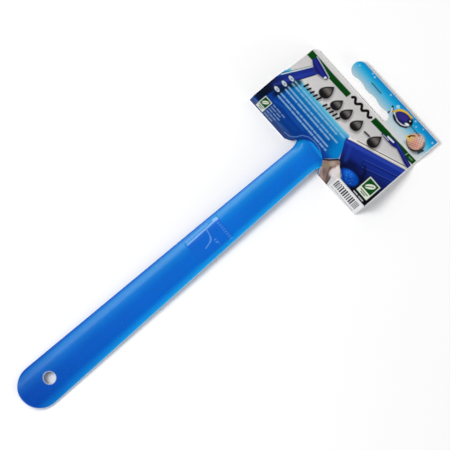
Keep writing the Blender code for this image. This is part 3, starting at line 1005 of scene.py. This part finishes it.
def paint_blue_fish(s):
    """A dark blue aquarium fish with a yellow back."""
    black = (18, 20, 30)
    s.ellipse((24.2, 306.1), (6.8, 4.0), (84, 110, 130), 16, 1.6, 0.5)
    s.stroke([(12.6, 307.4), (14.8, 305.6), (13.8, 302.9)], 1.3, black, 0.5)
    s.stroke([(13.4, 306.4), (14.4, 305.0), (14.6, 303.6)], 0.7, (220, 224, 224), 0.5)
    s.shape([(14.6, 305.8), (17.5, 307.4), (17.2, 304.0)], (214, 178, 40), 0.5)
    s.ellipse((22.9, 307.2), (7.3, 5.0), black, 14, 0.5)
    s.ellipse((22.0, 307.8), (6.4, 4.3), (216, 176, 52), 14, 0.6)
    s.ellipse((23.2, 306.9), (6.4, 4.2), (26, 26, 84), 14, 0.5)
    s.ellipse((22.4, 307.9), (4.6, 2.2), (48, 42, 126), 14, 1.8)
    belly = [(16.6, 305.4), (19.2, 304.1), (22.4, 303.4), (25.6, 304.0), (28.0, 305.4)]
    s.stroke(belly, 0.7, (220, 226, 232), 0.5)
    s.stroke([(17.6, 304.2), (21.4, 302.7), (25.4, 302.9), (28.6, 304.9)], 1.2, black, 0.6)
    s.ellipse((28.0, 308.6), (2.0, 2.5), black, 14, 0.6)
    s.ellipse((27.7, 306.7), (1.5, 0.8), (224, 230, 232), 20, 0.5)
    s.ellipse((27.4, 309.6), (0.5, 0.5), (190, 196, 200))
    s.stroke([(24.6, 311.9), (26.8, 312.2)], 0.8, (206, 170, 60), 0.5)


def paint_striped_fish(s):
    """A round striped aquarium fish."""
    s.ellipse((41.4, 302.6), (6.4, 5.2), (52, 66, 74), -35, 1.8, 0.8)
    s.shape(smooth_loop([(44.0, 302.8), (47.9, 304.0), (47.4, 301.6), (46.6, 299.4)]), (36, 58, 66), 0.6)
    s.ellipse((40.2, 303.3), (6.3, 6.0), (50, 42, 38), 30, 0.6)
    s.shape(smooth_loop([(32.9, 301.9), (35.4, 304.6), (36.8, 301.4), (34.6, 300.6)]), (222, 184, 64), 0.5)
    s.ellipse((39.8, 303.9), (5.8, 5.3), (206, 160, 138), 30, 0.6)
    s.ellipse((38.9, 299.8), (4.0, 1.5), (124, 112, 94), 24, 1.6, 0.75)
    s.ellipse((41.4, 306.8), (3.4, 2.2), (198, 186, 178), -40, 2.0, 0.7)
    s.ellipse((40.4, 302.4), (2.8, 2.2), (208, 106, 92), 30, 2.4, 0.55)
    s.ellipse((35.9, 302.9), (1.8, 2.5), (214, 178, 74), 10, 1.2)
    s.stroke([(44.0, 307.4), (45.3, 305.2), (45.0, 302.2)], 1.1, (86, 72, 68), 0.9, 0.7)
    inside = cover(np.hypot(s.x - 39.8, s.y - 303.9) - 5.3, 0.8)
    bands = 0.5 + 0.5 * np.sin((s.x * 0.86 + s.y * 0.5) * 2 * math.pi / 1.55)
    s.lay(inside * smoothstep(0.35, 0.9, bands) * 0.55, (150, 86, 78))
    scales = 0.5 + 0.5 * np.sin((s.x * 0.5 - s.y * 0.86) * 2 * math.pi / 1.3)
    s.lay(inside * smoothstep(0.5, 1.0, scales) * 0.4, (232, 210, 196))
    s.stroke([(34.2, 302.2), (34.9, 304.0), (36.6, 305.6)], 0.9, (44, 36, 30), 0.6)
    s.ellipse((34.9, 302.9), (0.5, 0.5), (18, 20, 30))


def paint_tool_picture(s):
    """Small drawing of the scraper standing at the card's left."""
    s.stroke([(-39.0, 271.0), (-42.0, 263.0), (-43.2, 255.0)], 4.4, (8, 18, 40), 2.6, 0.9)
    outline = [
        (-39.9, 287.5), (-40.6, 284.6), (-44.0, 277.6), (-47.0, 271.6), (-49.6, 266.2), (-52.5, 260.0),
        (-52.5, 243.5), (-46.6, 243.5), (-46.2, 250.0), (-45.2, 257.0), (-43.2, 264.0), (-40.6, 270.6),
        (-37.6, 277.4), (-34.8, 284.4), (-34.6, 287.5),
    ]
    s.stroke([(-41.6, 284.4), (-45.0, 277.6), (-48.0, 271.6), (-50.8, 266.0)], 0.5, (40, 60, 60), 0.5)
    s.stroke([(-41.0, 284.6), (-44.4, 277.8), (-47.4, 271.8), (-50.2, 266.0)], 0.6, (206, 226, 226), 0.4)
    s.lay_blend(cover(shape_distance(s.xy, outline), 0.6), s.y, [
        (243, (10, 26, 62)), (249, (10, 20, 38)), (254, (12, 22, 46)), (260, (20, 32, 78)),
        (266, (25, 40, 120)), (275, (30, 48, 138)), (286, (26, 36, 128)),
    ])
    s.stroke([(-37.6, 283.0), (-41.4, 274.0), (-45.6, 265.0), (-48.0, 258.0)], 1.6, (44, 66, 168), 1.8, 0.55)
    s.stroke([(-35.6, 282.6), (-38.8, 275.4), (-42.0, 268.4), (-44.4, 260.0)], 0.5, (12, 16, 62), 0.6)
    head = np.array([
        (-44.4, 287.4), (-43.6, 290.9), (-41.6, 291.3), (-28.9, 288.4), (-28.7, 286.4), (-31.0, 285.0),
        (-36.0, 283.9), (-41.0, 285.2),
    ])
    s.shape(head + (0.7, -0.9), (60, 62, 70), 1.6, 0.6)
    s.shape(head, (27, 32, 118), 0.5)
    s.stroke([(-43.0, 288.6), (-36.0, 287.0), (-31.0, 286.2)], 1.1, (44, 60, 160), 1.2, 0.6)
    s.stroke([(-43.9, 291.3), (-36.5, 290.0), (-28.6, 288.3)], 0.55, (196, 204, 214), 0.4)
    s.ellipse((-30.0, 286.2), (0.8, 0.9), (226, 232, 240), soft=0.4)
    s.stroke([(-29.4, 285.6), (-28.6, 286.6)], 0.6, (14, 14, 24), 0.4)


def paint_head_picture(s):
    """Close view of the head, cropped by the card's right edge."""
    outline = [
        (8.9, 270.8), (9.3, 268.4), (11.4, 265.6), (13.6, 262.0), (15.6, 258.8), (20.0, 254.8), (25.8, 250.5),
        (52.0, 250.5), (52.0, 287.6), (30.0, 279.0), (13.0, 272.6), (10.4, 271.8),
    ]
    inside = cover(shape_distance(s.xy, outline), 0.5)
    s.lay_blend(inside, s.y - 0.25 * (s.x - 30.0), [
        (248, (6, 8, 20)), (256, (7, 10, 26)), (260, (11, 17, 52)), (265, (17, 31, 98)), (270, (22, 44, 132)),
        (277, (22, 47, 144)), (284, (24, 50, 150)),
    ])
    below = 272.6 + (s.x - 13.0) * 0.394 - s.y
    s.lay(inside * smoothstep(1.9, 0.4, np.abs(below - 2.2)) * 0.4, (56, 84, 190))
    s.lay(inside * smoothstep(0.9, 0.1, np.abs(below)) * 0.7, (16, 24, 84))
    grooves = (([(27.0, 269.6), (52.0, 280.3)], 0.9), ([(29.2, 265.2), (52.0, 275.6)], 0.8))
    for ends, strength in grooves:
        s.stroke(ends, 0.6, (10, 18, 66), 0.5, strength)
        s.stroke(np.array(ends) + (0.0, 0.8), 0.4, (62, 88, 190), 0.5, strength * 0.6)
    s.stroke([(27.0, 269.6), (29.2, 265.2)], 0.5, (12, 20, 70), 0.6, 0.8)
    s.stroke([(30.5, 267.6), (33.5, 265.0), (34.8, 261.6)], 1.6, (8, 14, 44), 1.4, 0.8)
    s.ellipse((24.0, 262.4), (4.6, 1.9), (10, 18, 58), 18, 2.0, 0.7)
    s.stroke([(13.2, 271.2), (16.4, 266.0), (19.0, 261.0)], 1.6, (36, 66, 168), 2.4, 0.55)
    s.ellipse((28.6, 255.4), (7.2, 4.4), (6, 66, 168), 12, 1.2)
    s.ellipse((27.2, 256.6), (3.4, 2.0), (22, 104, 212), 20, 1.8, 0.9)
    ripple = 0.5 + 0.5 * np.sin(s.x * 2 * math.pi / 1.3 + s.y * 0.7)
    patch = cover((np.hypot((s.x - 30.6) / 5.4, (s.y - 254.6) / 3.6) - 1) * 3.6, 1.2)
    s.lay(patch * smoothstep(0.4, 1.0, ripple) * 0.5, (16, 84, 176))
    s.stroke([(27.4, 256.0), (29.4, 254.4), (31.6, 253.0)], 0.6, (6, 44, 120), 0.7, 0.6)
    s.stroke([(29.2, 257.2), (31.2, 255.8), (33.0, 254.8)], 0.6, (6, 44, 120), 0.7, 0.6)
    specks = (
        (26.2, 258.2), (28.6, 257.8), (25.4, 256.4), (29.8, 256.7), (31.6, 255.7), (27.0, 254.8),
        (30.4, 253.9), (32.4, 253.4), (28.2, 253.2),
    )
    for x, y in specks:
        s.ellipse((x, y), (0.25, 0.22), (110, 176, 228), soft=0.5, strength=0.55)
    s.stroke([(21.6, 256.2), (24.6, 253.6), (29.0, 251.2), (34.8, 250.9)], 0.7, (8, 40, 96), 1.0, 0.8)
    s.shape([(9.6, 271.2), (13.6, 275.2), (16.4, 275.6), (12.4, 272.6)], (232, 220, 214), 0.6)
    s.stroke([(10.0, 271.8), (13.4, 273.6), (30.0, 280.2), (52.0, 288.9)], 0.55, (232, 230, 224), 0.35)
    s.stroke([(14.6, 275.0), (30.0, 281.1), (52.0, 289.9)], 0.5, (36, 34, 34), 0.4)
    s.stroke([(16.0, 276.3), (30.0, 281.9), (52.0, 290.7)], 0.35, (232, 230, 222), 0.35, 0.9)
    s.stroke([(8.8, 271.2), (9.6, 269.0)], 0.6, (20, 34, 120), 0.4)
    s.ellipse((10.4, 272.6), (0.8, 0.7), (240, 232, 226), soft=0.5)


def paint_profile_picture(s):
    """Side view of the head above the close view."""
    outline = np.array([
        (21.2, 290.9), (24.6, 291.7), (27.6, 293.5), (31.2, 294.3), (36.8, 293.8), (42.0, 292.8),
        (52.0, 290.9), (52.0, 288.2), (45.8, 288.6), (39.7, 290.3), (35.2, 291.4), (31.8, 290.2),
        (25.9, 289.9), (21.2, 290.2),
    ])
    s.shape(outline + (0.3, -0.8), (96, 100, 104), 1.2, 0.6)
    s.shape(outline, (24, 32, 110), 0.45)
    s.stroke([(33.0, 293.4), (38.0, 292.6), (44.0, 291.0), (50.0, 289.8)], 0.6, (50, 66, 164), 0.6, 0.8)
    s.stroke([(25.6, 292.2), (30.6, 292.6)], 1.0, (226, 230, 236), 0.4)
    s.stroke([(22.8, 290.7), (27.6, 290.9)], 0.5, (190, 196, 204), 0.4)
    s.stroke([(26.0, 294.9), (36.0, 295.5), (49.0, 296.0)], 0.3, (190, 200, 196), 0.3, 0.8)
    s.stroke([(41.9, 292.9), (42.3, 295.4)], 0.4, (170, 190, 172), 0.3, 0.8)
    s.stroke([(44.6, 294.0), (47.4, 294.2)], 0.8, (120, 160, 126), 0.5, 0.7)


def paint_sand_picture(s):
    """Sandy ground seen at the card's lower edge, with its black border and pale surroundings."""
    pale = [
        (17.2, 257.2), (20.6, 254.4), (25.8, 250.4), (52.0, 250.4), (52.0, 236.0), (12.0, 236.0),
        (11.0, 243.0), (15.0, 250.0),
    ]
    s.shape(pale, (208, 206, 208), 0.5)
    sand = smooth_loop([
        (9.6, 249.2), (13.4, 254.6), (16.4, 257.6), (18.8, 255.8), (18.6, 252.4), (20.0, 248.8),
        (22.2, 244.4), (22.4, 239.0), (14.6, 239.0), (12.6, 244.0),
    ])
    s.shape(sand, (138, 114, 106), 0.6)
    s.ellipse((15.2, 253.2), (1.6, 2.2), (170, 148, 138), -30, 1.6)
    s.ellipse((13.6, 249.4), (1.8, 1.1), (132, 128, 96), 40, 1.2)
    s.stroke([(16.6, 250.4), (18.0, 247.0), (20.4, 244.0), (22.2, 241.6)], 1.6, (84, 66, 62), 1.0, 0.85)
    s.stroke([(19.2, 248.6), (21.6, 244.6), (22.4, 242.0)], 0.9, (52, 44, 48), 0.7, 0.8)
    s.stroke([(12.6, 246.2), (15.4, 243.6), (17.6, 242.0)], 1.2, (186, 160, 152), 1.0, 0.7)
    s.ellipse((20.6, 253.2), (2.6, 1.2), (226, 214, 196), -28, 1.0, 0.9)
    s.ellipse((19.9, 250.0), (2.4, 3.2), (222, 212, 214), 0, 1.4, 0.9)
    s.ellipse((24.3, 251.5), (1.5, 0.9), (190, 182, 122), -50, 1.2, 0.6)
    s.ellipse((15.6, 245.6), (2.0, 1.4), (96, 80, 76), -40, 1.6, 0.6)
    s.stroke([(17.0, 258.2), (15.6, 257.6), (12.2, 253.2), (8.6, 249.6)], 1.1, (14, 24, 36), 0.5)
    s.shape([(8.6, 248.8), (9.8, 248.6), (12.6, 244.6), (15.0, 241.4), (11.0, 240.0)], (10, 74, 150), 0.5)
    s.stroke([(10.4, 247.8), (12.8, 244.4), (15.2, 241.2)], 0.5, (180, 200, 214), 0.4, 0.8)


def paint_bars(s):
    """A plain row of bars, with no meaning, on the pale strip, and a painted highlight along the fold above
    it.
    """
    s.shape([(24.6, 241.9), (49.3, 242.6), (49.3, 249.8), (24.6, 249.8)], (228, 228, 230), 0.5)
    place = 25.8
    while place < 47.2:
        width = RANDOM.choice([0.5, 0.5, 0.8, 1.1])
        s.shape(box_outline(place, 244.5, place + width, 248.9), (30, 30, 36), 0.3)
        place += width + RANDOM.choice([0.5, 0.5, 0.8])
    s.words(25.8, 47.0, 243.2, 0.6, (90, 90, 94), 0.6, 0.0)
    # painted highlight: a pale line along the fold just above the strip
    s.stroke([(25.6, 250.35), (52.0, 250.35)], 0.35, (232, 232, 234), 0.3)


def paint_small_print(s):
    """Rows of plain bars in place of all the words, and the ovals beside them."""
    pale = (150, 196, 222)
    rows = ((269.9, 8.0), (267.6, 2.4), (264.2, 6.6), (261.7, 1.8), (257.9, 6.2), (255.4, 5.6))
    for y, right in rows:
        s.words(-40.8, right, y - 0.25, 1.15, pale, 0.8)
    for x, y in ((-44.0, 269.0), (-44.5, 263.4), (-44.9, 257.4)):
        s.ellipse((x, y), (2.5, 1.5), (12, 22, 44), soft=0.8)
        s.ellipse((x, y), (2.2, 1.15), (196, 208, 220), soft=0.4)
        s.ellipse((x + 0.3, y), (0.9, 0.6), (96, 116, 140), soft=0.5, strength=0.8)
    for number, right in enumerate((-25.6, -30.0, -27.4, -30.6, -31.6)):
        s.words(-38.4, right, 248.9 - 1.85 * number, 0.75, (150, 182, 206), 0.7)
    s.words(37.6, 48.2, 252.0, 0.8, (226, 230, 236), 0.85, 0.0)


def paint_titles(s):
    """Drops, a wave line and hatching where the card's large lettering would be."""
    drops = (
        (-22.4, 281.4, 8.6, 11.2), (-11.8, 280.8, 7.4, 9.4), (-3.2, 281.6, 7.4, 9.8), (6.6, 282.0, 7.8, 9.8),
        (22.2, 283.8, 8.2, 11.0),
    )
    for x, y, width, height in drops:
        water_drop(s, (x, y), width, height)
    s.stroke([(13.8, 282.0), (18.0, 282.4)], 1.5, (96, 92, 92), 1.4, 0.6)
    s.stroke([(13.2, 282.6), (17.4, 283.0)], 1.1, (40, 38, 40), 0.5)
    run = 0.5 * np.arange(37)
    wave = np.stack((run - 9.0, 291.4 + 0.04 * run + 1.25 * np.sin(run * 2 * math.pi / 6.0)), axis=1)
    s.stroke(wave, 1.9, (14, 14, 16))
    place = -34.6
    for number in range(11):
        if number != 5:
            base = 272.0 + (place + 34.6) * 0.065
            height = 2.6 if number in (0, 4, 9) else 2.0
            s.stroke([(place, base), (place + 0.7, base + height)], 1.5, (16, 16, 20), 0.5)
            s.stroke([(place + 1.5, base + 0.2), (place + 2.0, base + 1.5)], 0.6, (60, 60, 66), 0.5, 0.7)
        place += 2.95


def paint_card(xy):
    """The card's whole print, in plan places, with painted highlights along its folds and the arch's cut
    edge.
    """
    s = Ink(xy + PRINT_SHIFT, (208, 205, 205))
    s.lay(smoothstep(0, 1, np.sin(s.x * 0.11 + 1.0) * np.sin(s.y * 0.13)) * 0.25, (200, 198, 200))
    paint_header(s)
    paint_water(s)
    green = (6, 66, 16)
    s.shape([(-52.0, 287.0), (-11.5, 288.4), (-11.3, 292.5), (-30.0, 291.9), (-52.0, 292.0)], green, 0.35)
    s.shape([(10.7, 290.1), (52.0, 292.4), (52.0, 296.2), (10.9, 294.4)], green, 0.35)
    s.stroke([(-48.0, 289.6), (-12.0, 290.6)], 1.6, (12, 80, 28), 1.6, 0.5)
    paint_tool_picture(s)
    paint_head_picture(s)
    paint_sand_picture(s)
    paint_bars(s)
    paint_profile_picture(s)
    paint_titles(s)
    paint_small_print(s)
    emblem(s, -46.3, 240.7, 6.4, 8.4)
    emblem(s, 37.7, 254.0, 9.8, 12.4)
    paint_blue_fish(s)
    paint_striped_fish(s)
    # painted highlights: a pale line along the arch's cut edge, and a fainter one along the left crease of
    # the fold
    arch = [
        (-20.5, 242.9), (-16.2, 243.7), (-13.4, 246.4), (-11.4, 250.2), (-8.0, 252.6), (-3.0, 253.6),
        (2.0, 253.3), (7.0, 250.6),
    ]
    s.stroke(arch, 0.5, (96, 140, 206), 0.5, 0.75)
    s.stroke([(-50.0, 242.4), (-34.0, 243.4), (-20.5, 242.9)], 0.4, (60, 104, 172), 0.7, 0.5)
    return s


# ---------------------------------------------------------------- pieces


def card_colours(piece):
    """Print colours for a card's vertices, with painted highlights along the folds and the arch, and pale
    worn margins.
    """
    points = tool_points(piece)
    s = paint_card(points[:, :2].copy())
    x, y = points[:, :2].T
    white = (236, 236, 236)
    s.lay(smoothstep(0.35, 0.1, top_edge(x) - y) * (y > 308), white)
    s.lay(smoothstep(0.5, 0.2, CARD_RIGHT - x) * (y > 251), white)
    s.lay(smoothstep(0.7, 0.2, x - edge_warp(x, y) - CARD_LEFT) * (y > 270) * (y < 296), white)
    s.lay(smoothstep(0.55, 0.15, upper_edge(x) - y) * (x < SLOT_END_X) * (y < 297), white)
    return s.colour * PRINT_LEVEL


def sheet_object(name, sheet, materials):
    """A card piece: an open sheet given its thickness, printed face, bare reverse and core edges."""
    points, faces = sheet
    piece = mesh_object(name, points, faces, materials)
    with editing(piece.data) as work:
        bmesh.ops.remove_doubles(work, verts=work.verts, dist=0.005 * MM)
        bmesh.ops.dissolve_degenerate(work, edges=work.edges, dist=0.001 * MM)
    modifier = piece.modifiers.new("thickness", "SOLIDIFY")
    modifier.thickness = CARD_THICKNESS * MM
    modifier.offset = 0.0
    modifier.use_even_offset = True
    modifier.material_offset = 1
    modifier.material_offset_rim = 2
    apply_modifiers(piece)
    smooth_shade(piece, SHARP_CARD)
    return piece


def make_card_front(materials):
    """Printed front leaf."""
    leaf = sheet_object("card_front_leaf", front_sheet(), materials)
    store_colours(leaf, "ink", card_colours(leaf))
    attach(leaf, "card_leaf")
    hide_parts("card_front")


def make_card_back(materials):
    """Back leaf: print only on the outside of its end panel."""
    leaf = sheet_object("card_back_leaf", back_sheet(), materials)
    heights = (read_faces(leaf.data, "center", 3)[:, 2] - ORIGIN[2]) / MM
    facing_out = read_faces(leaf.data, "normal", 3)[:, 1] < -0.2
    slots = read_faces(leaf.data, "material_index", 1, np.int32)[:, 0]
    printed, bare, core = range(3)
    outside = (heights > 2.5 * FLAT_Z) & facing_out
    slots = np.where(slots == core, core, np.where(outside, printed, bare))
    leaf.data.polygons.foreach_set("material_index", slots.astype(np.int32))
    store_colours(leaf, "ink", card_colours(leaf))
    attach(leaf, "scraper")
    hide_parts("card_back")


def make_staple(name, material):
    """Round wire with bent shoulders, in the CAD staple's place."""
    low, high = (np.array((corner - Vector(ORIGIN)) / MM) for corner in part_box(name))
    radius = 0.25
    bend = 0.55
    middle_y = (low[1] + high[1]) / 2
    foot_z = low[2] + curl(middle_y)
    crown_z = high[2] + curl(middle_y) - radius
    ends = (low[0] + radius, high[0] - radius)

    def shoulder(end, way):
        """A quarter turn from a leg into the crown."""
        turn = quarter_turn(6)
        return [(end + way * bend * (1 - run), middle_y, crown_z - bend * (1 - rise)) for rise, run in turn]

    route = [(ends[0], middle_y, foot_z), *shoulder(ends[0], 1)]
    for share in (0.3, 0.5, 0.7):
        place = low[0] + (high[0] - low[0]) * share
        route.append((place, middle_y - 0.12 * (share - 0.5), crown_z - 0.04 * math.sin(share * math.pi)))
    route += [*shoulder(ends[1], -1)[::-1], (ends[1], middle_y, foot_z)]
    curve = bpy.data.curves.new(name + "_wire", "CURVE")
    curve.dimensions = "3D"
    curve.bevel_depth = radius * MM
    curve.bevel_resolution = 3
    curve.use_fill_caps = True
    spline = curve.splines.new("POLY")
    spline.points.add(len(route) - 1)
    for target, place in zip(spline.points, to_frame(route)):
        target.co = (*place, 1.0)
    curve.materials.append(material)
    staple = add_object(name + "_wire", curve)
    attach(staple, "card_leaf")
    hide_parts(name)


def finish_node(name, material, width):
    """Keep a CAD node's shape, with its own material and soft edges."""
    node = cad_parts[name]
    node.data.materials.clear()
    node.data.materials.append(material)
    joined = node.modifiers.new("join", "WELD")
    joined.merge_threshold = 0.002 * MM
    edges = node.modifiers.new("edges", "BEVEL")
    edges.width = width * MM
    edges.segments = 2
    edges.limit_method = "ANGLE"
    edges.angle_limit = math.radians(SHARP_NODE)


# ---------------------------------------------------------------- stage


def make_floor():
    """A plain pale sheet that everything lies on."""
    steps = np.linspace(-FLOOR_REACH, FLOOR_REACH, 9)
    across, along = np.meshgrid(steps, steps + OBJECT_MIDDLE_Y)
    points = np.stack((across, along, np.full_like(across, FLOOR_Z)), axis=-1).reshape(-1, 3)
    index = np.arange(len(points)).reshape(across.shape)
    floor = mesh_object("studio_floor", points, grid_faces(index), [floor_material()])


def make_light(name, place, size, power, reflected, roll=0.0):
    """A softbox at a place in metres, aimed at the object, for reflections only or for all but them."""
    data = bpy.data.lights.new(name, "AREA")
    data.shape = "RECTANGLE"
    data.size, data.size_y = size
    data.energy = power
    light = add_object(name, data)
    light.location = place
    aim = (Vector(LIGHT_TARGET) - Vector(place)).to_track_quat("-Z", "Y")
    light.rotation_euler = (aim @ Quaternion((0.0, 0.0, 1.0), math.radians(roll))).to_euler()
    light.visible_glossy = reflected
    light.visible_diffuse = not reflected
    light.visible_camera = False


def make_stage():
    """Floor, softboxes, even surroundings and the camera looking straight down."""
    make_floor()
    make_light("main_softbox", (-0.50, -0.33, 1.13), (0.50, 0.50), MAIN_POWER, False)
    make_light("low_fill", (1.60, 0.20, 0.40), (0.8, 0.8), FILL_POWER, False)
    make_light("band_softbox", (-1.19, -0.02, 0.707), (0.24, 1.30), BAND_POWER, True, -21)
    make_light("overhead_card", (0.0, 0.02, 2.7), (2.4, 2.4), OVERHEAD_POWER, True)
    world = bpy.data.worlds.new("studio")
    world.use_nodes = True
    background = world.node_tree.nodes["Background"]
    background.inputs["Color"].default_value = (1.0, 1.0, 1.0, 1.0)
    background.inputs["Strength"].default_value = SKY_LEVEL
    world.cycles_visibility.glossy = False
    scene = bpy.context.scene
    scene.world = world
    scene.view_settings.view_transform = "Standard"
    data = bpy.data.cameras.new("camera")
    data.sensor_width = SENSOR_WIDTH
    data.lens = SENSOR_WIDTH * CAMERA_DISTANCE / VIEW_WIDTH
    data.clip_end = 20.0
    camera = add_object("camera", data)
    camera.location = (*CAMERA_PLACE, CAMERA_HEIGHT)
    camera.rotation_euler = (0.0, 0.0, math.radians(CAMERA_TURN))
    scene.camera = camera


make_stage()
BLUE = plastic_material()
HEAD_BLUE = solid_plastic_material()
STEEL = steel_material("stainless_steel", 0.62, 0.34, (0.05, 1.0, 1.0))
WIRE = steel_material("staple_wire", 0.22, 0.36, (1.0, 0.1, 1.0))
CARD = [printed_material(), paper_material("plain_card", 0.78, 0.05), paper_material("card_core", 0.86, 0.06)]
make_handle(BLUE)
make_card_front(CARD)
make_card_back(CARD)
for staple_name in ("staple_left", "staple_right"):
    make_staple(staple_name, WIRE)
finish_node("blade_clamp", HEAD_BLUE, 0.25)
finish_node("hinge_pin", STEEL, 0.15)
finish_node("blade", STEEL, 0.02)
finish_node("blade_guard", guard_material(), 0.1)
